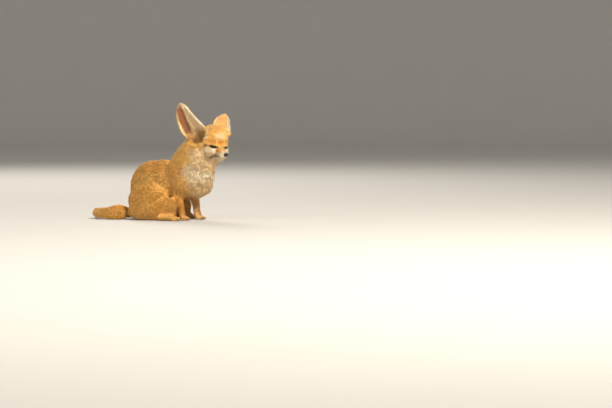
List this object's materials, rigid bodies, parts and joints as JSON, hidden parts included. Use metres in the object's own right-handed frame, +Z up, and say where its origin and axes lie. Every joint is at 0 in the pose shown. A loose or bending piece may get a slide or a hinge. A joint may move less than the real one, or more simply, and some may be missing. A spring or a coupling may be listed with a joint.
{
  "type": "fennec fox",
  "caption": "Sitting fennec fox, a still life-size model with large cupped ears, turned head and bushy tail laid out behind and bent round to the left.",
  "frame": {"origin": "on the floor under the middle of the whole model's box", "axes": "+Z up; +X the way the body mostly faces, along the long side from the tail's bend to the chest; -Y the animal's right side, which the head is turned towards"},
  "size_m": [0.3334, 0.2014, 0.2813],
  "materials": {
    "coat_back": "soft fur, golden buff",
    "coat_face": "short fur, buff with cream cheeks",
    "coat_throat": "long soft fur, cream in front",
    "coat_legs": "short fur, orange buff to cream",
    "coat_tail": "bushy fur, orange buff with a black brown tip",
    "ear_skin": "thin bare skin with fine hair, matt",
    "eye": "wet gloss, near black",
    "nose_skin": "moist pebbled skin, black"
  },
  "bodies": {
    "root": {"head": "coat_face", "ear_left": "ear_skin", "ear_right": "ear_skin", "eye_left": "eye", "eye_right": "eye", "nose": "nose_skin", "neck": "coat_throat", "torso": "coat_back", "foreleg_left": "coat_legs", "foreleg_right": "coat_legs", "forepaw_left": "coat_legs", "forepaw_right": "coat_legs", "thigh_left": "coat_legs", "thigh_right": "coat_legs", "hindfoot_left": "coat_legs", "hindfoot_right": "coat_legs", "tail": "coat_tail"}
  },
  "joints": []
}
